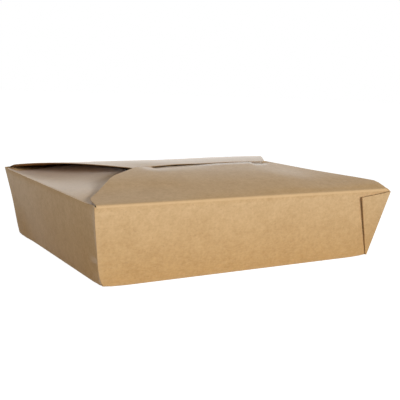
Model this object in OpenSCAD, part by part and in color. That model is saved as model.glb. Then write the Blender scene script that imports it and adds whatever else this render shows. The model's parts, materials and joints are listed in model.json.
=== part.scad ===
// Folded kraft board takeaway box, closed, standing on its base.
// Millimetres, +Z up, +X along the box, -Y towards the front flap's fold.
// The origin is the middle of the base, on the table.

/* [Tray] */
// Length of the base, outside
base_l = 197.2; // [160:0.2:240]
// Width of the base, outside
base_w = 146.2; // [120:0.2:180]
// Height of the rim above the table
rim_h = 48; // [36:1:70]
// How far each end wall leans out on its way up
flare_x = 9.4; // [5:0.2:14]
// How far each long wall leans out on its way up
flare_y = 9.4; // [5:0.2:14]
// Thickness of the board
board_t = 0.45; // [0.3:0.05:0.7]
// How far the folds along the rim stop short of its corners
fold_inset = 4; // [2:0.5:8]
// How far the rim's corners are cut down below the folds
corner_drop = 1.5; // [0.5:0.1:3]

/* [Corner webs] */
// Angle between a web's fold and the tray's corner edge, in degrees
web_angle = 31.4; // [26:0.2:35]
// Length of a web's fold
web_fold = 45.6; // [36:0.2:50]
// How far below the rim the webs' cut edges end at the corners
web_top_gap = 2; // [1.6:0.2:6]
// How far above the table the webs start
web_lift = 0.8; // [0.4:0.1:3]
// How far the webs stay inside the tray's corner edges
web_edge_gap = 0.3; // [0.2:0.1:1]

/* [End flaps] */
// Length of an end flap from its fold to its free edge
end_len = 90; // [60:1:100]
// How much an end flap narrows on each side
end_taper = 8; // [2:1:30]
// Radius of the end flaps' corners
end_corner_r = 20; // [5:1:30]
// How far an end flap sags below level, in degrees
end_sag = 2.25; // [0.5:0.25:4]

/* [Front flap] */
// Level distance from the front fold to the front flap's free edge
front_reach = 70.5; // [55:0.5:85]
// Width of the front flap's free edge
front_tip_w = 104; // [90:1:130]
// Length of the straight sides beside the folds of the front and rear flaps
side_len = 14.5; // [8:0.5:22]
// Radius of the front flap's corners
front_corner_r = 3; // [1:0.5:6]
// Gap between the front flap and the top of the front wall
hinge_gap = 0.1; // [0.05:0.05:0.3]

/* [Tongue] */
// Width of the tongue
tongue_w = 76; // [50:1:84]
// Length of the tongue past its root
tongue_len = 4; // [3:0.1:6]
// How steeply the tongue dips below level, in degrees
tongue_dip = 64; // [45:1:70]
// How far the tongue's root lies behind the flap's free edge
tongue_inset = 2; // [1:0.5:4]
// Radius of the tongue's corners
tongue_corner_r = 2; // [0.5:0.25:2.5]

/* [Rear flap] */
// How high the rear flap stands above the rim at its crest
crown_h = 11; // [7:0.1:16]
// How far the rear flap runs on under the front flap
lap = 22; // [14:0.5:30]
// Width of the rear flap's free edge
rear_tip_w = 76; // [60:1:90]
// Radius of the rear flap's corners
rear_corner_r = 6; // [2:1:12]
// Gap between the front flap and the rear flap under it
lap_gap = 0.35; // [0.3:0.05:0.8]
// Room left around the tongue in the rear flap's slit
slit_gap = 0.8; // [0.5:0.1:1.5]

/* [Hidden] */

kraft = [0.78, 0.60, 0.42];
corner_steps = 32;
crown_steps = 14;
spare = 5;

rim_l = base_l + 2 * flare_x;
rim_w = base_w + 2 * flare_y;
wall_lean = atan(flare_y / rim_h);
corner_lean = atan(flare_x / norm([flare_y, rim_h]));
web_t = 2 * board_t;
// The flaps' roots lie in the middle of the walls' thickness
root_in = board_t / 2;

// Places along Y, from the front flap's free edge
seam_y = front_reach - rim_w / 2;
root_y = seam_y - tongue_inset;
slit_front_y = root_y - slit_gap / 2;
slit_rear_y = root_y + tongue_len * cos(tongue_dip) + board_t + slit_gap;
rear_tip_y = seam_y - lap;

// The front flap rises so that it would clear the rear flap's crest, which is the slit's rear side
front_pitch = atan((crown_h + lap_gap) / (slit_rear_y + rim_w / 2));

// How far along the crown a place is, from 0 at the rear fold to 1 at the crest
function along_crown(y) = (rim_w / 2 - y) / (rim_w / 2 - slit_rear_y);
// Height of the rear flap's upper face above the rim, and its slope there
function crown_at(y) = crown_h * (1 - pow(1 - along_crown(y), 2));
function slope_at(y) = 2 * crown_h * (1 - along_crown(y)) / (rim_w / 2 - slit_rear_y);

// Corners of the tray's outside at a height, set in from it, going round
function ring(z, inset) =
    let (x = base_l / 2 + flare_x * z / rim_h - inset,
         y = base_w / 2 + flare_y * z / rim_h - inset)
    [[-x, -y, z], [x, -y, z], [x, y, z], [-x, y, z]];

// A tapered block that follows the tray's outside, set in from it, between two heights
module flared(z0, z1, inset) {
    sides = [for (i = [0:3]) [i, i + 4, (i + 1) % 4 + 4, (i + 1) % 4]];
    polyhedron(points = concat(ring(z0, inset), ring(z1, inset)),
               faces = concat([[0, 1, 2, 3], [7, 6, 5, 4]], sides));
}

// Cuts one corner of the rim down, on a slope that meets the rim just short of the folds
module corner_cut() {
    run = (fold_inset - board_t) / sqrt(2);
    translate([rim_l / 2, rim_w / 2, rim_h - corner_drop])
        rotate([0, 0, 45])
            rotate([0, atan(corner_drop / run), 0])
                translate([-rim_w / 4, -rim_w / 4, 0])
                    cube([rim_w / 2, rim_w / 2, rim_h]);
}

// Base and four walls
module tray() {
    wall_inset = board_t / cos(wall_lean);
    difference() {
        flared(0, rim_h, 0);
        flared(board_t, rim_h + spare, wall_inset);
        for (x = [0, 1], y = [0, 1])
            mirror([x, 0, 0]) mirror([0, y, 0]) corner_cut();
        // The front wall stops just short of the front flap, which turns on it
        translate([-rim_l / 2 - spare, -rim_w / 2 - spare, rim_h - hinge_gap])
            cube([rim_l + 2 * spare, spare + 2 * board_t, spare]);
    }
}

// A folded web at the right end of the front wall, its depth running outwards from the wall's face
module web(inner_face, outer_face) {
    fold_lean = web_angle - corner_lean;
    top = rim_h - web_top_gap;
    slant = norm([flare_y, rim_h]) / rim_h;
    foot = [base_l / 2 - web_edge_gap + flare_x * web_lift / rim_h, slant * web_lift];
    translate([0, -base_w / 2, 0])
        rotate([90 + wall_lean, 0, 0])
            translate([0, 0, inner_face])
                linear_extrude(outer_face - inner_face)
                    polygon([
                        foot,
                        [base_l / 2 - web_edge_gap + flare_x * top / rim_h, slant * top],
                        foot + web_fold * [-sin(fold_lean), cos(fold_lean)],
                    ]);
}

// Webs lie outside the long walls at the right end, and inside them at the left end
module webs() {
    for (y = [0, 1])
        mirror([0, y, 0]) {
            web(-root_in, web_t);
            mirror([1, 0, 0]) web(-board_t - web_t, -root_in);
        }
}

// A flap's outline, its fold on X: straight sides, then a taper to a free edge with round corners
module flap_outline(fold_w, side, tip_w, reach, corner_r) {
    translate([-fold_w / 2, 0]) square([fold_w, side]);
    hull() {
        polygon([[-fold_w / 2, side], [fold_w / 2, side], [0, reach - corner_r]]);
        for (x = [-1, 1])
            translate([x * (tip_w / 2 - corner_r), reach - corner_r])
                circle(corner_r, $fn = corner_steps);
    }
}

// The flap on the right end wall
module end_flap() {
    fold_w = rim_w - 2 * fold_inset;
    translate([rim_l / 2 - root_in, 0, rim_h - root_in])
        rotate([0, -end_sag, 0])
            translate([0, 0, -board_t])
                linear_extrude(board_t)
                    rotate([0, 0, 90])
                        flap_outline(fold_w, board_t, fold_w - 2 * end_taper, end_len, end_corner_r);
}

// The flap on the rear wall: a crown as far as the slit, then a flat lap under the front flap
module rear_flap() {
    root = rim_w / 2 - root_in;
    crown_y = [for (i = [0:crown_steps]) root - i * (root - slit_rear_y) / crown_steps];
    lap_drop = (slit_rear_y - rear_tip_y) * tan(front_pitch);
    upper = concat([for (y = crown_y) [y, rim_h + crown_at(y)]],
                   [[rear_tip_y, rim_h + crown_h - lap_drop]]);
    lower = concat([for (y = crown_y) [y, rim_h + crown_at(y) - board_t * norm([1, slope_at(y)])]],
                   [[rear_tip_y, rim_h + crown_h - lap_drop - board_t / cos(front_pitch)]]);
    count = len(upper);
    difference() {
        intersection() {
            rotate([90, 0, 90])
                linear_extrude(rim_l, center = true)
                    polygon(concat(upper, [for (i = [1:count]) lower[count - i]]));
            translate([0, 0, rim_h - spare])
                linear_extrude(crown_h + 2 * spare)
                    translate([0, rim_w / 2])
                        mirror([0, 1])
                            flap_outline(rim_l - 2 * fold_inset, side_len, rear_tip_w,
                                         rim_w / 2 - rear_tip_y, rear_corner_r);
        }
        translate([-tongue_w / 2 - slit_gap, slit_front_y, rim_h])
            cube([tongue_w + 2 * slit_gap, slit_rear_y - slit_front_y, crown_h + spare]);
    }
}

// The folded sheet: tray, webs, both end flaps and the rear flap
module carton() {
    color(kraft) {
        tray();
        webs();
        end_flap();
        mirror([1, 0, 0]) end_flap();
        rear_flap();
    }
}

// The front flap in its own plane: its fold runs along X, its free edge lies towards +Y
module front_plate() {
    level = cos(front_pitch);
    difference() {
        flap_outline(rim_l - 2 * fold_inset, side_len / level, front_tip_w,
                     front_reach / level, front_corner_r);
        translate([-tongue_w / 2 - slit_gap, front_reach / level - tongue_inset])
            square([tongue_w + 2 * slit_gap, tongue_inset + spare]);
    }
}

// The tongue in its own plane, with its root on X
module tongue_plate() {
    translate([0, tongue_len - tongue_corner_r])
        for (x = [-1, 1])
            translate([x * (tongue_w / 2 - tongue_corner_r), 0])
                circle(tongue_corner_r, $fn = corner_steps);
    translate([-tongue_w / 2, -board_t]) square([tongue_w, tongue_len + board_t - tongue_corner_r]);
    translate([tongue_corner_r - tongue_w / 2, 0])
        square([tongue_w - 2 * tongue_corner_r, tongue_len]);
}

// The flap on the front wall, with the tongue that dips into the rear flap's slit
module front_flap() {
    root = front_reach / cos(front_pitch) - tongue_inset;
    color(kraft)
        translate([0, -rim_w / 2, rim_h])
            rotate([front_pitch, 0, 0]) {
                linear_extrude(board_t) front_plate();
                translate([0, root, board_t])
                    rotate([-front_pitch - tongue_dip, 0, 0])
                        translate([0, 0, -board_t])
                            linear_extrude(board_t) tongue_plate();
            }
}

carton();
front_flap();
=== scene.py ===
import json
import math

import bmesh
import bpy
from mathutils import Matrix, Vector, noise


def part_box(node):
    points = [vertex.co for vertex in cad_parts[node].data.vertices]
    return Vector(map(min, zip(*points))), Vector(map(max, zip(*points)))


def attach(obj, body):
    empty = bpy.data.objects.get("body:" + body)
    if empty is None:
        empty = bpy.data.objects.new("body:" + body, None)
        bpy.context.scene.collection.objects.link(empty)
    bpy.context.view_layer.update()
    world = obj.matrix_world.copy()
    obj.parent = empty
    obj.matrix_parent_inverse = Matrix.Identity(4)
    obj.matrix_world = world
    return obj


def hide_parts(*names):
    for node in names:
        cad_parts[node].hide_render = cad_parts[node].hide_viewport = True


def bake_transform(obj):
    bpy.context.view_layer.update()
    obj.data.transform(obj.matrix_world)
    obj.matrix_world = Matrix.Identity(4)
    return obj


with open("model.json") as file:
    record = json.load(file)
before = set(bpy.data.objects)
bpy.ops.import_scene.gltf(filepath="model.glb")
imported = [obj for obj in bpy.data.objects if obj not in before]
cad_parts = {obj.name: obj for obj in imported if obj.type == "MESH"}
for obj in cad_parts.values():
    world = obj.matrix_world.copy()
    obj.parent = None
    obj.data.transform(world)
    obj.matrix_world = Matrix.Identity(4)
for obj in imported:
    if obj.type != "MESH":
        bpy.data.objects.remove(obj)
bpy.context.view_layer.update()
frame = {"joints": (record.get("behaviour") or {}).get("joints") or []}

# Lengths are in metres, in the frame's own axes: +X along the box, -Y towards the front fold.
# Left is -X, right is +X, front is -Y and rear is +Y.
MM = 0.001

# Sizes taken from the frame: the rim's half sizes and its height
FOLD = frame["joints"][0]["pos_m"]
RIM_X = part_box("carton")[1][0]
RIM_Y = -FOLD[1]
RIM_Z = FOLD[2]

# The folded sheet
FLARE = 9.4 * MM
BOARD = 0.45 * MM
BASE_X = RIM_X - FLARE
BASE_Y = RIM_Y - FLARE
WALL_UP = Vector((0, -FLARE, RIM_Z)).normalized()
WALL_OUT = Vector((0, -RIM_Z, -FLARE)).normalized()

# Folds: roundness, where they stop along the rim, and how far the rim's corners drop past them.
# The front flap's crease starts on a strip of the front wall, whose left foot stands a little proud.
CREASE = 0.6 * MM
RIM_CREASE = 1.3 * MM
CREASE_MARGIN = 2.6 * MM
FOLD_X = RIM_X - 4 * MM
FOLD_Y = RIM_Y - 4 * MM
FRONT_FOLD_LEFT = -107.3 * MM
FRONT_FOLD_RIGHT = 105.2 * MM
FRONT_FOLD_STEP = 0.9 * MM
CORNER_DROP = 1.5 * MM
CORNER_DROP_LEFT = 0.3 * MM
STRIP = 1.6 * MM
STRIP_PROUD = 0.15 * MM

# Outlines of the flaps past their folds, and the round of their corners
FRONT_OUTLINE = [(106 * MM, -68 * MM), (70 * MM, -29 * MM), (52.3 * MM, -12.4 * MM),
                 (-50 * MM, -12 * MM), (-74 * MM, -28.5 * MM), (-105.2 * MM, -68 * MM)]
FRONT_ROUNDS = (1.2 * MM, 6 * MM, 1.5 * MM, 1.5 * MM, 5 * MM, 3 * MM)
REAR_OUTLINE = [(-105.1 * MM, 67.5 * MM), (-38 * MM, -34 * MM),
                (38 * MM, -34 * MM), (105.1 * MM, 67.5 * MM)]
REAR_ROUNDS = (3 * MM, 4 * MM, 4 * MM, 3 * MM)
END_REACH = 90 * MM
END_STEP = (7 * MM, 2.5 * MM)
END_TAPER = 8 * MM
END_ROUND = 19 * MM

# Rear flap: the crest above the rim, the lower side edges, the tilt, and the lap under the front flap
CROWN = 11.2 * MM
CROWN_POWER = 2.0
EDGE_LOW = 1.6 * MM
EDGE_LOW_RIGHT = 0.7 * MM
EDGE_POWER = 0.5
EDGE_FROM = 0.3
REAR_TILT = 0.9 * MM
REAR_TILT_X = (-10 * MM, 45 * MM)
REAR_TILT_RUN = 0.15
LAP_RUN = 4 * MM
LAP_GAP = 0.35 * MM

# Front flap: rise, arch, twist and droop. A run is a share of the way from fold to free edge.
FRONT_RISE = 11.05 * MM
FRONT_TILT = 0.85 * MM
FRONT_ARCH = 1.1 * MM
ARCH_X = (30 * MM, 68 * MM)
ROOT_TWIST = 1.4 * MM
TWIST_RUN_LEFT = 0.5
TWIST_RUN_RIGHT = 0.14
TWIST_LOST = 0.9
TWIST_LOST_RUN = (0.2, 0.8)
SIDE_DROOP = 0.6 * MM
DROOP_X = (48 * MM, 80 * MM)

# Front flap at the tongue: how far the tongue pulls it down, by place along X, and the dented shoulder
TONGUE_PULL = [(-46 * MM, 0), (-38 * MM, 0.75 * MM), (-28 * MM, 0.25 * MM), (0, 0),
               (10 * MM, -0.35 * MM), (38 * MM, -0.3 * MM), (42 * MM, 0)]
PULL_RUN = 0.8
SHOULDER_DIP = 2.7 * MM
SHOULDER_RUN = 0.9
SHOULDER_FADE = 3 * MM

# End flaps: they spring up gently at the front and curl up steeply at the rear, with a ramp
# between, fall again towards their free edges, and keep some room below the long flaps
END_RISE = 8.5 * MM
END_FALL = 6 * MM
END_FALL_RUN = 60 * MM
END_CURL = 2.3
END_CURL_TOP = 6.5 * MM
END_CURL_Y = (-70 * MM, 45 * MM)
END_DIP = 2.2 * MM
END_DIP_RUN = 8 * MM
END_ROOM = 0.65 * MM

# Walls: how far they bow in and out, and how many waves of bow a metre holds
BOW = 0.35 * MM
BOW_WAVES = 16

# Left rim's sag: how far, how deep below the rim, how far along and how it eases in at the corners
LEFT_RIM_SAG = 0.6 * MM
RIM_SAG_DEPTH = 22 * MM
RIM_SAG_REACH = 100 * MM
RIM_SAG_EASE = 14 * MM

# Widths of the strips that the panels are cut into, so that they can bend
TRAY_STRIP = 12 * MM
WALL_STRIP = 6 * MM
END_STRIP = 9 * MM
FLAP_STRIP = 5 * MM
ACROSS_STRIP = 7 * MM
RIM_MARGIN = 1.8 * CREASE_MARGIN

# Places along Y: the front flap's free edge, the tongue's root, the slit's two sides
SEAM_Y = FRONT_OUTLINE[3][1]
FRONT_REACH = RIM_Y + SEAM_Y
ROOT_Y = SEAM_Y - 2 * MM
SLIT_FRONT = ROOT_Y - 0.4 * MM
SLIT_REAR = ROOT_Y + 2.4 * MM
SLIT_LEFT = -38.8 * MM
SLIT_RIGHT = 50 * MM
SLIT_CUTS = [SLIT_REAR, SLIT_REAR - 1.5 * MM, SLIT_FRONT, SLIT_FRONT - 3 * MM, SLIT_FRONT - 9 * MM]
SHOULDER = (41 * MM, 46 * MM, 49 * MM)
TONGUE_X = 38 * MM
TONGUE_STEP = 1.3 * MM
TONGUE_DIPS = (20, 45, 64)

# A corner web's outline on the front wall: across, and up along the wall from the base.
# It goes from the foot of its fold, up the tray's corner and back along its cut top edge.
WEB_OUTLINE = [(97.6 * MM, 1.2 * MM), (98.5 * MM, 0.8 * MM), (107.5 * MM, 47.2 * MM),
               (101.7 * MM, 47.1 * MM), (80.6 * MM, 44.7 * MM)]
WEB_STAND_OFF = 1.3 * MM
WEB_REST = 0.05 * MM
WEB_ROUND = 0.38 * MM
WEB_STRIP = 2.5 * MM
WEB_SPREAD = 9 * MM

# A web's faces that point up more than this are its cut top edge
FACES_UP = 0.8

# Wear: the left front corner's bulge by height with the valley beside it, the left rear foot,
# and how far all four feet are lifted
BULGE = [(0, 0), (5 * MM, 1.6 * MM), (11 * MM, 2.1 * MM), (22 * MM, 1.7 * MM), (33 * MM, 1.5 * MM),
         (48 * MM, 0.7 * MM)]
BULGE_WIDTH = 4.5 * MM
ON_LEFT_WALL = 0.3 * MM
VALLEY = 0.35 * MM
VALLEY_WIDTH = 4 * BULGE_WIDTH
VALLEY_Z = (4 * MM, 16 * MM)
REAR_FOOT = 1.3 * MM
REAR_FOOT_RUN = 30 * MM
FOOT_LIFT = 0.8 * MM
FOOT_RUN = 9 * MM

# Photograph: 400 pixels wide, camera solved from the box's corners
FRAME_PX = 400
FOCAL_PX = 702.0
CAMERA_AT = Vector((-0.2509, -0.4159, 0.1146))
CAMERA_YAW = math.radians(-31.79)
CAMERA_PITCH = math.radians(9.63)
CAMERA_ROLL = math.radians(2.52)
SENSOR_MM = 36.0
CLIP_START = 10 * MM

# Light. Sides and rises are in degrees, from straight in front of the box.
ROOM_LEVEL = 0.18
LIGHT_AIM = Vector((0, 0, 30 * MM))
KEY_WATTS = 34.5
KEY_SIDE = 8.0
KEY_RISE = 16.0
KEY_DISTANCE = 2.2
KEY_SIZE = (0.7, 0.24)
KEY_TINT = (1.0, 1.0, 1.0)
LEFT_WATTS = 4.6
LEFT_SIDE = -56.0
LEFT_RISE = 15.0
LEFT_DISTANCE = 1.4
LEFT_SIZE = (0.4, 0.3)
LEFT_TINT = (1.0, 0.95, 0.93)
FLOOR_GREY = 0.5
FLOOR_GLOW = 0.93
FLOOR_ROUGH = 0.9
FLOOR_HALF = 4.0
FLOOR_DROP = 0.2 * MM
WHITE = (1.0, 1.0, 1.0, 1.0)
SEEN_RAYS = ("Is Camera Ray", "Is Glossy Ray", "Is Transmission Ray")


def smooth(value, low, high):
    """0 below low, 1 above high, and a smooth ramp between them."""
    t = min(max((value - low) / (high - low), 0.0), 1.0)
    return t * t * (3 - 2 * t)


def along_table(table, place):
    """Reads a value between the rows of a table of (place, value)."""
    for (low, first), (high, second) in zip(table, table[1:]):
        if place <= high:
            return first + (second - first) * max(place - low, 0) / (high - low)
    return table[-1][1]


class Socket:
    """A node's output. Arithmetic on it adds Math nodes to its tree."""

    def __init__(self, nodes, socket):
        self.nodes = nodes
        self.socket = socket

    def maths(self, operation, first, second):
        return self.nodes.node("ShaderNodeMath", {"operation": operation}, {0: first, 1: second})

    def __add__(self, other):
        return self.maths("ADD", self, other)

    def __radd__(self, other):
        return self.maths("ADD", other, self)

    def __sub__(self, other):
        return self.maths("SUBTRACT", self, other)

    def __rsub__(self, other):
        return self.maths("SUBTRACT", other, self)

    def __mul__(self, other):
        return self.maths("MULTIPLY", self, other)

    def __rmul__(self, other):
        return self.maths("MULTIPLY", other, self)

    def __truediv__(self, other):
        return self.maths("DIVIDE", self, other)

    def __rtruediv__(self, other):
        return self.maths("DIVIDE", other, self)

    def __pow__(self, other):
        return self.maths("POWER", self, other)

    def __rpow__(self, other):
        return self.maths("POWER", other, self)

    def largest(self, other):
        return self.maths("MAXIMUM", self, other)


class Nodes:
    """A node tree that grows by one node at a time."""

    def __init__(self, tree):
        self.tree = tree

    def feed(self, socket, value):
        if isinstance(value, Socket):
            self.tree.links.new(value.socket, socket)
        else:
            socket.default_value = value

    def node(self, kind, settings, inputs, output=0):
        """Adds a node, sets its settings, feeds its sockets and gives one of its outputs."""
        made = self.tree.nodes.new(kind)
        for key, value in settings.items():
            if key == "stops":
                set_stops(made.color_ramp, value)
            else:
                setattr(made, key, value)
        for key, value in inputs.items():
            self.feed(made.inputs[key], value)
        return Socket(self, made.outputs[output])

    def seen(self):
        """1 for what the camera sees, straight, mirrored or through glass, and 0 for the rest."""
        straight, mirrored, through = [self.node("ShaderNodeLightPath", {}, {}, ray) for ray in SEEN_RAYS]
        return straight.largest(mirrored).largest(through)


class Finish(Nodes):
    """A material built from nodes, with its Principled shader ready to be fed."""

    def __init__(self, name):
        self.material = bpy.data.materials.new(name)
        self.material.use_nodes = True
        super().__init__(self.material.node_tree)
        self.shader = self.tree.nodes["Principled BSDF"]

    def set(self, **inputs):
        for key, value in inputs.items():
            self.feed(self.shader.inputs[key.replace("_", " ")], value)

    def place(self):
        return self.node("ShaderNodeTexCoord", {}, {}, "Object")

    def stretched(self, scale, turn=0.0):
        return self.node("ShaderNodeMapping", {}, {"Vector": self.place(), "Scale": scale,
                                                   "Rotation": (0, 0, turn)})

    def noise(self, where, scale, detail=2.0, roughness=0.5):
        return self.node("ShaderNodeTexNoise", {"noise_dimensions": "3D"},
                         {"Vector": where, "Scale": scale, "Detail": detail, "Roughness": roughness})

    def ramp(self, factor, stops):
        return self.node("ShaderNodeValToRGB", {"stops": stops}, {"Fac": factor})

    def mix(self, factor, first, second, blend="MIX"):
        return self.node("ShaderNodeMix", {"data_type": "RGBA", "blend_type": blend},
                         {0: factor, 6: first, 7: second}, 2)

    def bump(self, height, strength, distance):
        return self.node("ShaderNodeBump", {}, {"Height": height, "Strength": strength,
                                                "Distance": distance})


def set_stops(ramp, stops):
    """Gives a colour ramp the listed stops of (place, grey)."""
    while len(ramp.elements) < len(stops):
        ramp.elements.new(1.0)
    for element, (place, grey) in zip(ramp.elements, stops):
        element.position = place
        element.color = (grey, grey, grey, 1.0)


# Colours: the board low and high on the walls, between which the painted light and shade by height runs,
# the tint of its darker tone, its fibres and the painted highlight on its creases, its specks, which also
# give the painted shade of the inside and of the shaded cut edges, and its cut edges
KRAFT_LOW = (0.565, 0.350, 0.150, 1.0)
KRAFT_HIGH = (0.665, 0.460, 0.250, 1.0)
KRAFT_TONE = (0.79, 0.74, 0.66, 1.0)
KRAFT_PALE = (0.68, 0.475, 0.265, 1.0)
KRAFT_SHIVE_AND_SHADE = (0.36, 0.21, 0.09, 1.0)
CUT_PALE = (0.66, 0.49, 0.30, 1.0)
CUT_DARK = (0.20, 0.12, 0.055, 1.0)

# Patterns of the board: the scale, detail and roughness of each noise
CLOUD = (70.0, 3.0, 0.6)
BLOTCH = (210.0, 2.0, 0.55)
MOTTLE = (620.0, 3.0, 0.65)
GRAIN = (2500.0, 3.0, 0.7)

# Fibres and specks: how far each layer is turned, its scale along and across, and its stops
FIBRE_LAYERS = ((0.35, (260.0, 2600.0, 1500.0)), (1.75, (300.0, 2900.0, 1700.0)),
                (2.6, (280.0, 2400.0, 1300.0)))
FIBRE_STOPS = [(0.56, 0.0), (0.72, 1.0)]
SHIVE_LAYER = (0.9, (500.0, 1500.0, 900.0))
SHIVE_STOPS = [(0.735, 0.0), (0.79, 1.0)]

# Stops for the tone, for the painted light and shade by height on the walls,
# and for the film by height on the lid
TONE_STOPS = [(0.38, 0.0), (0.62, 1.0)]
HEIGHT_LIGHT_STOPS = [(0.05, 0.0), (0.5, 0.5), (0.92, 1.0), (1.0, 0.6)]
RAISED_STOPS = [(0.45, 0.0), (1.0, 1.0)]

# How much each pattern shows: the tone's three parts, then tone, fibres and specks on the colour
TONE_CLOUD = 0.22
TONE_BLOTCH = 0.30
TONE_MOTTLE = 0.48
TONE_SHOWS = 0.75
FIBRES_SHOW = 0.20
SHIVES_SHOW = 0.22

# Painted highlight on the creases: how sharply it fades beside them, its least and what the mottle adds
HIGHLIGHT_FADE = 2.0
HIGHLIGHT_LEAST = 0.6
HIGHLIGHT_MOTTLE = 0.8

# Surface: roughness and its spread, relief, specular level and the sheen's spread
ROUGH = 0.6
ROUGH_SPREAD = 0.12
RELIEF_STRENGTH = 0.28
RELIEF = 0.12 * MM
RELIEF_FIBRES = 0.5
RELIEF_MOTTLE = 0.9
RELIEF_CLOUD = 0.5
SPECULAR = 0.12
SHEEN_SPREAD = 0.35
CUT_ROUGH = 0.85
CUT_RELIEF_STRENGTH = 0.4
CUT_RELIEF = 0.1 * MM


def fibre_mask(board):
    """Short fibres that lie three ways."""
    fibres = None
    for turn, scale in FIBRE_LAYERS:
        streaks = board.noise(board.stretched(scale, turn), 1.0, 1.0, 0.5)
        lines = board.ramp(streaks, FIBRE_STOPS)
        fibres = lines if fibres is None else board.mix(1.0, fibres, lines, "LIGHTEN")
    return fibres


def shive_mask(board):
    """A few dark specks of wood."""
    turn, scale = SHIVE_LAYER
    return board.ramp(board.noise(board.stretched(scale, turn), 1.0, 0.0, 0.5), SHIVE_STOPS)


def kraft_finish(name, shade, film, film_roughness, sheen, crease_highlight_share, tip_film=0.0):
    """Brown board: cloudy pulp, short fibres, a few specks, creases with a painted highlight,
    painted light and shade by height, and painted shade where shade is given.

    Its smooth face is a thin film that shines pale where it is seen at a low angle. On the lid
    the film also grows stronger towards the crest, by tip_film.
    """
    board = Finish(name)
    place = board.place()
    cloud = board.noise(place, *CLOUD)
    blotch = board.noise(place, *BLOTCH)
    mottle = board.noise(place, *MOTTLE)
    fibres = fibre_mask(board)
    shives = shive_mask(board)
    tone = board.ramp(cloud * TONE_CLOUD + blotch * TONE_BLOTCH + mottle * TONE_MOTTLE, TONE_STOPS)
    height = board.node("ShaderNodeSeparateXYZ", {}, {"Vector": place}, "Z")
    # Painted light and shade by height: the colour is lighter towards the rim and darker towards the foot
    painted_height_light = board.ramp(height / RIM_Z, HEIGHT_LIGHT_STOPS)
    colour = board.mix(painted_height_light, KRAFT_LOW, KRAFT_HIGH)
    colour = board.mix(tone * TONE_SHOWS, colour, board.mix(1.0, colour, KRAFT_TONE, "MULTIPLY"))
    colour = board.mix(fibres * FIBRES_SHOW, colour, KRAFT_PALE)
    colour = board.mix(shives * SHIVES_SHOW, colour, KRAFT_SHIVE_AND_SHADE)
    crease = board.node("ShaderNodeAttribute", {"attribute_name": "crease"}, {}, "Fac")
    # Painted highlight along the folds, where the rounded creases would catch the light
    crease_highlight = crease ** HIGHLIGHT_FADE * (mottle * HIGHLIGHT_MOTTLE + HIGHLIGHT_LEAST)
    colour = board.mix(crease_highlight * crease_highlight_share, colour, KRAFT_PALE)
    # Painted shade: darkens the whole board, as on the box's inside
    if shade:
        colour = board.mix(shade, colour, KRAFT_SHIVE_AND_SHADE)
    facing = board.node("ShaderNodeLayerWeight", {}, {"Blend": 0.5}, "Facing")
    low_angle = board.ramp(facing, film)
    relief = fibres * RELIEF_FIBRES + mottle * RELIEF_MOTTLE + cloud * RELIEF_CLOUD
    raised = board.ramp((height - RIM_Z) / CROWN, RAISED_STOPS)
    board.set(Base_Color=colour, Roughness=ROUGH + mottle * ROUGH_SPREAD, Specular_IOR_Level=SPECULAR)
    board.set(Normal=board.bump(relief, RELIEF_STRENGTH, RELIEF))
    board.set(Coat_Weight=low_angle * (1.0 - crease) + raised * tip_film, Coat_Roughness=film_roughness)
    board.set(Sheen_Weight=sheen, Sheen_Roughness=SHEEN_SPREAD)
    return board.material


def edge_finish(name, pale, dark):
    """The cut edge of the board: rough, with torn fibre ends."""
    edge = Finish(name)
    grain = edge.noise(edge.place(), *GRAIN)
    edge.set(Base_Color=edge.mix(grain, pale, dark), Roughness=CUT_ROUGH)
    edge.set(Normal=edge.bump(grain, CUT_RELIEF_STRENGTH, CUT_RELIEF))
    return edge.material


# Strength of the film by how low the angle of sight is: 0 is straight on, 1 is along the face
WALL_FILM = [(0.68, 0.0), (0.76, 0.20), (0.90, 0.25)]
LID_FILM = [(0.67, 0.0), (0.70, 0.15), (0.76, 0.18), (0.80, 0.60), (0.88, 0.80)]
FLAP_FILM = [(0.70, 0.15), (0.80, 0.50), (0.88, 0.66)]
INNER_FILM = [(0.70, 0.0), (0.90, 0.10)]

OUTSIDE = kraft_finish("kraft_board", shade=0.0, film=WALL_FILM, film_roughness=0.20,
                       sheen=0.12, crease_highlight_share=0.2)
LID = kraft_finish("kraft_flap_board", shade=0.0, film=LID_FILM, film_roughness=0.20,
                   sheen=0.04, crease_highlight_share=0.45, tip_film=0.38)
FLAP = kraft_finish("kraft_end_flap_board", shade=0.0, film=FLAP_FILM, film_roughness=0.34,
                    sheen=0.30, crease_highlight_share=0.2)
# The inside is painted darker by its shade, as painted shade
INSIDE = kraft_finish("kraft_board_inside", shade=0.35, film=INNER_FILM, film_roughness=0.35,
                      sheen=0.0, crease_highlight_share=0.1)
CUT = edge_finish("cut_board_edge", CUT_PALE, KRAFT_HIGH)
# Cut edges painted dark as painted shade, for flap edges that face down and for the gaps behind the webs'
# tops
SHADED_CUT = edge_finish("shaded_board_edge", KRAFT_SHIVE_AND_SHADE, CUT_DARK)

# A sheet's finishes come in threes: its face, its inner side and its cut edge.
# The carton's flaps take the second three, with their cut edges painted dark as painted shade.
CARTON_FINISHES = (OUTSIDE, INSIDE, CUT, FLAP, INSIDE, SHADED_CUT)
LID_FINISHES = (LID, INSIDE, CUT)
CARTON_FLAP_FINISH = 3

# Panels of the sheet
BASE, FRONT_WALL, REAR_WALL, RIGHT_WALL, LEFT_WALL, STRIP_PANEL, REAR, RIGHT, LEFT, FRONT = range(1, 11)
WALLS = (FRONT_WALL, REAR_WALL, RIGHT_WALL, LEFT_WALL)
FLAPS = (REAR, RIGHT, LEFT, FRONT)
ALONG_X = Vector((1, 0, 0))
ALONG_Y = Vector((0, 1, 0))
ALONG_Z = Vector((0, 0, 1))
SHARP_ANGLE = math.radians(40)
TOUCH = 1e-6
OUTLINE_STEPS = 6
CREASE_STEPS = 4


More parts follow.
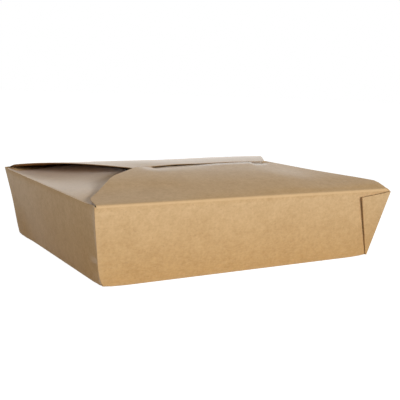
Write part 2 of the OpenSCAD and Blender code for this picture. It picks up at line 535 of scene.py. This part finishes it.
def new_sheet():
    """A mesh in the making, with a panel number on each face and a crease mask on each vertex."""
    bm = bmesh.new()
    return bm, bm.faces.layers.int.new("panel"), bm.verts.layers.float.new("crease")


def add_panel(bm, panel, key, verts):
    """Adds one panel of the sheet from its corners, which go round anticlockwise seen from outside."""
    bm.faces.new(verts)[panel] = key


def slice_panels(bm, panel, keys, normal, places):
    """Cuts some panels by planes across a direction. What is cut is listed in the mesh's own order."""
    for place in places:
        faces = [f for f in bm.faces if f[panel] in keys]
        edges = list(dict.fromkeys(e for f in faces for e in f.edges))
        verts = list(dict.fromkeys(v for f in faces for v in f.verts))
        bmesh.ops.bisect_plane(bm, geom=verts + edges + faces, plane_no=normal, dist=TOUCH,
                               plane_co=normal * (place / normal.length_squared))


def steps(low, high, size):
    """Evenly spaced places between two limits, the limits left out."""
    count = max(2, round((high - low) / size))
    return [low + (high - low) * i / count for i in range(1, count)]


def round_outline(bm, verts, rounds):
    """Rounds the corners of a flap's outline."""
    for vert, offset in zip(verts, rounds):
        bmesh.ops.bevel(bm, geom=[vert], offset=offset, affect="VERTICES",
                        segments=OUTLINE_STEPS, profile=0.5, material=-1)


def front_lift(x, y):
    """Height of the front flap over the rim: it rises, arches, twists and dips at the tongue."""
    run = (y + RIM_Y) / FRONT_REACH
    tip = FRONT_RISE + FRONT_TILT * x / FRONT_OUTLINE[2][0]
    twist = ROOT_TWIST * x / RIM_X * smooth(run, 0, TWIST_RUN_LEFT if x < 0 else TWIST_RUN_RIGHT)
    twist *= 1 - TWIST_LOST * smooth(run, *TWIST_LOST_RUN)
    arch = FRONT_ARCH * 4 * run * (1 - run) * (1 - smooth(abs(x), *ARCH_X))
    pull = along_table(TONGUE_PULL, x) * smooth(run, PULL_RUN, 1.0)
    dip = SHOULDER_DIP * smooth(run, SHOULDER_RUN, 1.0) * smooth(x, TONGUE_X, SHOULDER[0])
    dip *= 1 - smooth(x, SHOULDER[1], SHOULDER[2] + SHOULDER_FADE)
    droop = SIDE_DROOP * run * smooth(x, *DROOP_X)
    return tip * run + twist + arch - pull - dip - droop


def rear_lift(x, y):
    """Height of the rear flap over the rim: a crown, then a lap that lies under the front flap."""
    (wide_x, wide_y), (tip_x, tip_y) = REAR_OUTLINE[3], REAR_OUTLINE[2]
    half_width = tip_x + (wide_x - tip_x) * (y - tip_y) / (wide_y - tip_y)
    edge = smooth(abs(x) / half_width, EDGE_FROM, 1.0)
    along = min((RIM_Y - y) / (RIM_Y - SLIT_REAR), 1.0)
    low = EDGE_LOW if x < 0 else EDGE_LOW_RIGHT
    crown = (CROWN - low * edge) * (1 - (1 - along) ** (CROWN_POWER + EDGE_POWER * edge))
    crown += REAR_TILT * smooth(x, *REAR_TILT_X) * smooth(along, 0, REAR_TILT_RUN)
    under = front_lift(x, y) - BOARD - LAP_GAP
    return crown + (under - crown) * smooth(SLIT_REAR - y, 0, LAP_RUN)


def end_lift(x, y):
    """Height of an end flap: it springs up until it meets the two long flaps from below."""
    run = min(RIM_X - abs(x), END_REACH)
    spring = END_RISE * (1 - (1 - run / END_REACH) ** 2)
    curl = min(END_CURL * run * run, END_CURL_TOP) - END_DIP * smooth(run, 0, END_DIP_RUN)
    rise = curl + (spring - curl) * (1 - smooth(y, *END_CURL_Y))
    rise -= END_FALL * smooth(run, END_FALL_RUN, END_REACH)
    ceiling = min(front_lift(x, y), rear_lift(x, y)) if y < SEAM_Y else rear_lift(x, y)
    return min(rise, ceiling - END_ROOM)


LIFTS = {REAR: rear_lift, FRONT: front_lift, RIGHT: end_lift, LEFT: end_lift}


def wear(place):
    """How far a place on the tray has moved from its true position, through folding and use."""
    x, y, z = place
    move = Vector((0, 0, 0))
    out = FLARE * z / RIM_Z
    from_left = x + BASE_X + out
    from_front = y + BASE_Y + out
    from_rear = BASE_Y + out - y
    if x < 0 and from_left < ON_LEFT_WALL:
        bulge = along_table(BULGE, z)
        move.x -= bulge * (1 - smooth(from_front, 0, BULGE_WIDTH))
        dent = smooth(from_front, 0, BULGE_WIDTH)
        dent *= 1 - smooth(from_front, BULGE_WIDTH, VALLEY_WIDTH)
        move.x += VALLEY * dent * smooth(z, *VALLEY_Z)
    if x < 0:
        to_rear_foot = math.hypot(from_left, from_rear, z)
        move.x -= REAR_FOOT * (1 - smooth(to_rear_foot, 0, REAR_FOOT_RUN))
        sag = smooth(z, RIM_Z - RIM_SAG_DEPTH, RIM_Z) * (1 - smooth(x + RIM_X, 0, RIM_SAG_REACH))
        move.z -= LEFT_RIM_SAG * sag * smooth(RIM_Y - abs(y), 0, RIM_SAG_EASE)
    foot = math.hypot(BASE_X - abs(x), BASE_Y - abs(y), z)
    move.z += FOOT_LIFT * (1 - smooth(foot, 0, FOOT_RUN))
    return move


def shape_sheet(bm, panel):
    """Lifts the flaps to their heights, bows the walls a little and adds the wear."""
    bm.normal_update()
    moves = []
    for vert in bm.verts:
        keys = {f[panel] for f in vert.link_faces}
        x, y, z = vert.co
        move = Vector((0, 0, 0))
        if len(keys) == 1 and keys <= set(LIFTS):
            move.z = LIFTS[min(keys)](x, y)
        elif len(keys) == 1 and keys <= set(WALLS):
            span = math.sin(math.pi * min(max(z / RIM_Z, 0), 1))
            move = vert.normal * (noise.noise(vert.co * BOW_WAVES) * BOW * span)
        if keys <= {BASE, LEFT, *WALLS}:
            move += wear(vert.co)
        moves.append((vert, move))
    for vert, move in moves:
        vert.co += move


def round_creases(bm, panel, crease):
    """Rounds every fold, those along the rim more than the others, and marks them in the mask."""
    rim, rest = [], []
    for edge in bm.edges:
        keys = {f[panel] for f in edge.link_faces}
        if len(keys) == 2:
            (rim if keys & set(FLAPS) else rest).append(edge)
    for folds, offset in ((rim, RIM_CREASE), (rest, CREASE)):
        if folds:
            made = bmesh.ops.bevel(bm, geom=folds, offset=offset, affect="EDGES", segments=CREASE_STEPS,
                                   profile=0.5, material=-1, clamp_overlap=True)
            for vert in made["verts"]:
                vert[crease] = 1.0


def mark_sharp(bm):
    """Keeps the sheet's cut edges and its hard angles from being shaded as one with their faces."""
    bm.normal_update()
    for edge in bm.edges:
        if len(edge.link_faces) != 2 or edge.calc_face_angle() > SHARP_ANGLE:
            edge.smooth = False


def finish_sheet(bm, panel, name, finishes):
    """Makes a sheet's object: its outer face is modelled, and the board's thickness goes inwards."""
    bmesh.ops.triangulate(bm, faces=[f for f in bm.faces if len(f.verts) > 4])
    mark_sharp(bm)
    for face in bm.faces:
        if face[panel] in (REAR, LEFT, RIGHT):
            face.material_index = CARTON_FLAP_FINISH
    piece = make_object(bm, name, finishes)
    board = piece.modifiers.new("board", "SOLIDIFY")
    board.thickness = BOARD
    board.offset = -1.0
    board.material_offset = 1
    board.material_offset_rim = 2
    return piece


def make_object(bm, name, materials):
    """Turns a mesh in the making into a smooth shaded object with its materials."""
    mesh = bpy.data.meshes.new(name)
    bm.to_mesh(mesh)
    bm.free()
    mesh.polygons.foreach_set("use_smooth", [True] * len(mesh.polygons))
    for material in materials:
        mesh.materials.append(material)
    piece = bpy.data.objects.new(name, mesh)
    bpy.context.scene.collection.objects.link(piece)
    return piece


def on_tray(x_side, y_side, height, along_x=None, along_y=None):
    """A place on the tray's walls at a height: at a corner, or at a given distance along a wall."""
    out = FLARE * height / RIM_Z
    x = x_side * (BASE_X + out) if along_x is None else along_x
    y = y_side * (BASE_Y + out) if along_y is None else along_y
    return (x, y, height)


def tray_panels(bm, panel):
    """The base and the four walls. Gives the ends of the three folds that carry flaps."""
    new = bm.verts.new
    sides = {"fl": (-1, -1), "fr": (1, -1), "rr": (1, 1), "rl": (-1, 1)}
    foot = {key: new(on_tray(x, y, 0)) for key, (x, y) in sides.items()}
    drops = {"fl": CORNER_DROP_LEFT, "fr": CORNER_DROP, "rr": CORNER_DROP, "rl": CORNER_DROP_LEFT}
    top = {key: new(on_tray(x, y, RIM_Z - drops[key])) for key, (x, y) in sides.items()}
    rear = [new(on_tray(1, 1, RIM_Z, along_x=x)) for x in (-FOLD_X, FOLD_X)]
    left = [new(on_tray(-1, 1, RIM_Z, along_y=y)) for y in (-FOLD_Y, FOLD_Y)]
    right = [new(on_tray(1, 1, RIM_Z, along_y=y)) for y in (FOLD_Y, -FOLD_Y)]
    front = [new(on_tray(1, -1, RIM_Z, along_x=FRONT_FOLD_RIGHT)),
             new(on_tray(1, -1, RIM_Z - STRIP, along_x=FRONT_FOLD_RIGHT)),
             new(on_tray(1, -1, RIM_Z - STRIP, along_x=FRONT_FOLD_LEFT + FRONT_FOLD_STEP))]
    add_panel(bm, panel, BASE, [foot["fl"], foot["rl"], foot["rr"], foot["fr"]])
    add_panel(bm, panel, FRONT_WALL, [foot["fl"], foot["fr"], top["fr"], *front, top["fl"]])
    add_panel(bm, panel, RIGHT_WALL, [foot["fr"], foot["rr"], top["rr"], *right, top["fr"]])
    add_panel(bm, panel, REAR_WALL, [foot["rr"], foot["rl"], top["rl"], *rear, top["rr"]])
    add_panel(bm, panel, LEFT_WALL, [foot["rl"], foot["fl"], top["fl"], *left, top["rl"]])
    return rear, left, right


def rear_and_end_flaps(bm, panel, rear, left, right):
    """Adds the three flaps of the carton, level at first."""
    outline = [bm.verts.new((x, y, RIM_Z)) for x, y in REAR_OUTLINE]
    add_panel(bm, panel, REAR, [rear[1], rear[0], *outline])
    round_outline(bm, outline, REAR_ROUNDS)
    for key, fold, side in ((LEFT, left, -1), (RIGHT, right, 1)):
        steps_in = ((END_STEP[0], FOLD_Y - END_STEP[1]), (END_REACH, FOLD_Y - END_TAPER))
        near, far = [[bm.verts.new((side * (RIM_X - run), turn * side * half, RIM_Z))
                      for turn in (1, -1)] for run, half in steps_in]
        add_panel(bm, panel, key, [fold[1], fold[0], near[0], far[0], far[1], near[1]])
        round_outline(bm, far, (END_ROUND, END_ROUND))


def cut_tray(bm, panel):
    """Cuts the base and walls into strips: close beside the folds, wider apart elsewhere."""
    beside = CREASE_MARGIN
    slice_panels(bm, panel, (BASE, *WALLS), ALONG_X, steps(-RIM_X, RIM_X, TRAY_STRIP))
    slice_panels(bm, panel, (BASE, *WALLS), ALONG_Y, steps(-RIM_Y, RIM_Y, TRAY_STRIP))
    slice_panels(bm, panel, (BASE,), ALONG_X, [-BASE_X + beside, BASE_X - beside])
    slice_panels(bm, panel, (BASE,), ALONG_Y, [-BASE_Y + beside, BASE_Y - beside])
    slice_panels(bm, panel, WALLS, ALONG_Z, [beside] + steps(0, RIM_Z, WALL_STRIP) + [RIM_Z - RIM_MARGIN])
    for side in (-1, 1):
        across_x = Vector((side, 0, -FLARE / RIM_Z))
        across_y = Vector((0, side, -FLARE / RIM_Z))
        for gap in (beside, 2 * beside):
            slice_panels(bm, panel, (FRONT_WALL, REAR_WALL), across_x, [BASE_X - gap])
            slice_panels(bm, panel, (LEFT_WALL, RIGHT_WALL), across_y, [BASE_Y - gap])


def cut_flaps(bm, panel):
    """Cuts the carton's flaps into strips and opens the rear flap's slit."""
    beside = CREASE_MARGIN
    ends = (LEFT, RIGHT)
    slice_panels(bm, panel, ends, ALONG_X, [-RIM_X + beside, RIM_X - beside])
    slice_panels(bm, panel, ends, ALONG_X, steps(-RIM_X, RIM_X, END_STRIP))
    slice_panels(bm, panel, ends, ALONG_Y, steps(-RIM_Y, RIM_Y, END_STRIP))
    slice_panels(bm, panel, (REAR,), ALONG_Y, [RIM_Y - beside] + steps(SLIT_REAR, RIM_Y, FLAP_STRIP))
    slice_panels(bm, panel, (REAR,), ALONG_Y, SLIT_CUTS)
    slice_panels(bm, panel, (REAR,), ALONG_X, steps(-FOLD_X, FOLD_X, ACROSS_STRIP))
    slice_panels(bm, panel, (REAR,), ALONG_X, [SLIT_LEFT, SLIT_RIGHT])
    slice_panels(bm, panel, (REAR,), ALONG_X, SHOULDER)
    slit = []
    for face in bm.faces:
        x, y, _ = face.calc_center_median()
        if face[panel] == REAR and SLIT_LEFT < x < SLIT_RIGHT and SLIT_FRONT < y < SLIT_REAR:
            slit.append(face)
    bmesh.ops.delete(bm, geom=slit, context="FACES")


def make_carton():
    """The folded sheet without its front flap."""
    bm, panel, crease = new_sheet()
    rear, left, right = tray_panels(bm, panel)
    rear_and_end_flaps(bm, panel, rear, left, right)
    cut_tray(bm, panel)
    cut_flaps(bm, panel)
    shape_sheet(bm, panel)
    round_creases(bm, panel, crease)
    piece = finish_sheet(bm, panel, "folded_board", CARTON_FINISHES)
    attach(piece, "carton")
    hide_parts("carton")


def add_tongue(bm, panel):
    """Extrudes the tongue from its root, dipping a little more with every step."""
    root = []
    for edge in bm.edges:
        at_root = all(abs(v.co.y - ROOT_Y) < TOUCH and abs(v.co.x) < TONGUE_X + TOUCH for v in edge.verts)
        if at_root and len(edge.link_faces) == 1:
            root.append(edge)
    for dip in TONGUE_DIPS:
        made = bmesh.ops.extrude_edge_only(bm, edges=root)["geom"]
        verts = [g for g in made if isinstance(g, bmesh.types.BMVert)]
        move = Vector((0, math.cos(math.radians(dip)), -math.sin(math.radians(dip)))) * TONGUE_STEP
        bmesh.ops.translate(bm, verts=verts, vec=move)
        for face in (g for g in made if isinstance(g, bmesh.types.BMFace)):
            face[panel] = FRONT
        root = [g for g in made if isinstance(g, bmesh.types.BMEdge) and set(g.verts) <= set(verts)]


def make_front_flap():
    """The front flap with its crease, which starts on the front wall and bends with the flap."""
    bm, panel, crease = new_sheet()
    fold_ends = (FRONT_FOLD_LEFT, FRONT_FOLD_RIGHT)
    feet = [bm.verts.new(on_tray(1, -1, RIM_Z - STRIP, along_x=x)) for x in fold_ends]
    fold = [bm.verts.new(on_tray(1, -1, RIM_Z, along_x=x)) for x in fold_ends]
    outline = [bm.verts.new((x, y, RIM_Z)) for x, y in FRONT_OUTLINE]
    add_panel(bm, panel, STRIP_PANEL, [feet[0], feet[1], fold[1], fold[0]])
    add_panel(bm, panel, FRONT, [fold[0], fold[1], *outline])
    round_outline(bm, outline, FRONT_ROUNDS)
    slice_panels(bm, panel, (FRONT,), ALONG_Y, [-RIM_Y + CREASE_MARGIN])
    slice_panels(bm, panel, (FRONT,), ALONG_Y, steps(-RIM_Y, ROOT_Y, FLAP_STRIP) + [ROOT_Y])
    slice_panels(bm, panel, (STRIP_PANEL, FRONT), ALONG_X, steps(-FOLD_X, FOLD_X, ACROSS_STRIP))
    slice_panels(bm, panel, (STRIP_PANEL, FRONT), ALONG_X, [-TONGUE_X, TONGUE_X])
    slice_panels(bm, panel, (FRONT,), ALONG_X, SHOULDER)
    notch = []
    for face in bm.faces:
        x, y, _ = face.calc_center_median()
        if abs(x) < TONGUE_X and y > ROOT_Y:
            notch.append(face)
    bmesh.ops.delete(bm, geom=notch, context="FACES")
    shape_sheet(bm, panel)
    feet[0].co += WALL_OUT * STRIP_PROUD
    add_tongue(bm, panel)
    round_creases(bm, panel, crease)
    piece = finish_sheet(bm, panel, "front_flap_board", LID_FINISHES)
    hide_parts("front_flap")
    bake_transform(piece)


def web_place(across, up, out):
    """A place on the front wall: across, up along the wall, and out from its outer face."""
    return Vector((across, -BASE_Y, 0)) + WALL_UP * up + WALL_OUT * out


def web_plate(outside):
    """A folded web at the front wall's right end, its folded sides round and its top edge cut."""
    bm = bmesh.new()
    near = WEB_REST if outside else -BOARD - WEB_REST
    far = near + 2 * BOARD * (1 if outside else -1)
    rings = [[bm.verts.new(web_place(u, v, out)) for u, v in WEB_OUTLINE] for out in (near, far)]
    count = len(WEB_OUTLINE)
    for ring in rings:
        bm.faces.new(ring)
    for i in range(count):
        j = (i + 1) % count
        bm.faces.new([rings[0][i], rings[0][j], rings[1][j], rings[1][i]])
    folded = []
    for ring in rings:
        for i, j in ((1, 2), (4, 0)):
            folded.append(bm.edges.get((ring[i], ring[j])))
    bmesh.ops.recalc_face_normals(bm, faces=bm.faces[:])
    bmesh.ops.bevel(bm, geom=folded, offset=WEB_ROUND, affect="EDGES", segments=CREASE_STEPS,
                    profile=0.5, material=-1)
    for place in steps(WEB_OUTLINE[4][0], WEB_OUTLINE[2][0], WEB_STRIP):
        bmesh.ops.bisect_plane(bm, geom=bm.verts[:] + bm.edges[:] + bm.faces[:], dist=TOUCH,
                               plane_co=ALONG_X * place, plane_no=ALONG_X)
    lift = WEB_STAND_OFF if outside else -WEB_STAND_OFF
    top = WEB_OUTLINE[2][1]
    for vert in bm.verts:
        up = (vert.co - web_place(0, 0, 0)).dot(WALL_UP)
        inwards = BASE_X + FLARE * up / RIM_Z - vert.co.x
        vert.co += WALL_OUT * (lift * up / top * smooth(inwards, 0, WEB_SPREAD))
    return bm


def make_web(name, x_side, y_side):
    """One corner web. Those at the right end lie outside the walls, those at the left end inside."""
    bm = web_plate(x_side > 0)
    bmesh.ops.scale(bm, vec=(x_side, y_side, 1), verts=bm.verts[:])
    bmesh.ops.recalc_face_normals(bm, faces=bm.faces[:])
    # Faces pointing up are the cut top edge, which takes the dark cut finish as painted shade for the gap
    # behind it
    for face in bm.faces:
        face.material_index = 1 if face.normal.z > FACES_UP else 0
    mark_sharp(bm)
    piece = make_object(bm, name, (OUTSIDE if x_side > 0 else INSIDE, SHADED_CUT))
    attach(piece, "carton")


def make_camera():
    """The photograph's viewpoint."""
    camera = bpy.data.objects.new("camera", bpy.data.cameras.new("camera"))
    camera.data.sensor_width = SENSOR_MM
    camera.data.lens = FOCAL_PX / FRAME_PX * SENSOR_MM
    camera.data.clip_start = CLIP_START
    ahead = Vector((-math.sin(CAMERA_YAW) * math.cos(CAMERA_PITCH),
                    math.cos(CAMERA_YAW) * math.cos(CAMERA_PITCH), -math.sin(CAMERA_PITCH)))
    right = Vector((math.cos(CAMERA_YAW), math.sin(CAMERA_YAW), 0))
    up = right.cross(ahead)
    turned_right = right * math.cos(CAMERA_ROLL) + up * math.sin(CAMERA_ROLL)
    turned_up = up * math.cos(CAMERA_ROLL) - right * math.sin(CAMERA_ROLL)
    turn = Matrix((turned_right, turned_up, -ahead)).transposed()
    camera.matrix_world = Matrix.Translation(CAMERA_AT) @ turn.to_4x4()
    bpy.context.scene.collection.objects.link(camera)
    bpy.context.scene.camera = camera


def make_floor():
    """A pale table top that shows white to the camera and keeps a soft shadow."""
    bm = bmesh.new()
    bmesh.ops.create_grid(bm, x_segments=1, y_segments=1, size=FLOOR_HALF)
    top = Finish("white_floor")
    top.set(Base_Color=(FLOOR_GREY, FLOOR_GREY, FLOOR_GREY, 1.0), Roughness=FLOOR_ROUGH)
    top.set(Specular_IOR_Level=0.0)
    glow = top.node("ShaderNodeEmission", {}, {"Color": WHITE, "Strength": top.seen() * FLOOR_GLOW})
    both = top.node("ShaderNodeAddShader", {}, {0: Socket(top, top.shader.outputs[0]), 1: glow})
    top.tree.links.new(both.socket, top.tree.nodes["Material Output"].inputs["Surface"])
    floor = make_object(bm, "floor", (top.material,))
    floor.location.z = -FLOOR_DROP


def make_room():
    """A pale room that looks white to the camera and lights the box less than that."""
    world = bpy.data.worlds.new("room")
    bpy.context.scene.world = world
    world.use_nodes = True
    room = Nodes(world.node_tree)
    back = room.tree.nodes["Background"]
    room.feed(back.inputs["Color"], WHITE)
    room.feed(back.inputs["Strength"], room.seen() * (1.0 - ROOM_LEVEL) + ROOM_LEVEL)


def make_lamp(name, place, aim, width, height, watts, tint):
    """A soft light that faces a point. The board's film mirrors the room but not the lamps."""
    lamp = bpy.data.lights.new(name, "AREA")
    lamp.shape = "RECTANGLE"
    lamp.size = width
    lamp.size_y = height
    lamp.energy = watts
    lamp.color = tint
    holder = bpy.data.objects.new(name, lamp)
    holder.location = place
    holder.rotation_euler = (place - aim).to_track_quat("Z", "Y").to_euler()
    holder.visible_glossy = False
    bpy.context.scene.collection.objects.link(holder)


def towards(side, rise):
    """The direction to a place in front of the box, turned to the right and raised by some degrees."""
    side = math.radians(side)
    rise = math.radians(rise)
    return Vector((math.sin(side) * math.cos(rise), -math.cos(side) * math.cos(rise), math.sin(rise)))


def make_lights():
    """A low, wide front light a little to the right, and a weaker one in front of the left end."""
    key = LIGHT_AIM + towards(KEY_SIDE, KEY_RISE) * KEY_DISTANCE
    make_lamp("front_light", key, LIGHT_AIM, *KEY_SIZE, KEY_WATTS, KEY_TINT)
    left = LIGHT_AIM + towards(LEFT_SIDE, LEFT_RISE) * LEFT_DISTANCE
    make_lamp("left_light", left, LIGHT_AIM, *LEFT_SIZE, LEFT_WATTS, LEFT_TINT)


bpy.context.scene.view_settings.view_transform = "Standard"
make_camera()
make_floor()
make_room()
make_lights()
make_carton()
make_front_flap()
for end, x_side in (("right", 1), ("left", -1)):
    for depth, y_side in (("front", 1), ("rear", -1)):
        make_web(f"{depth}_{end}_web", x_side, y_side)
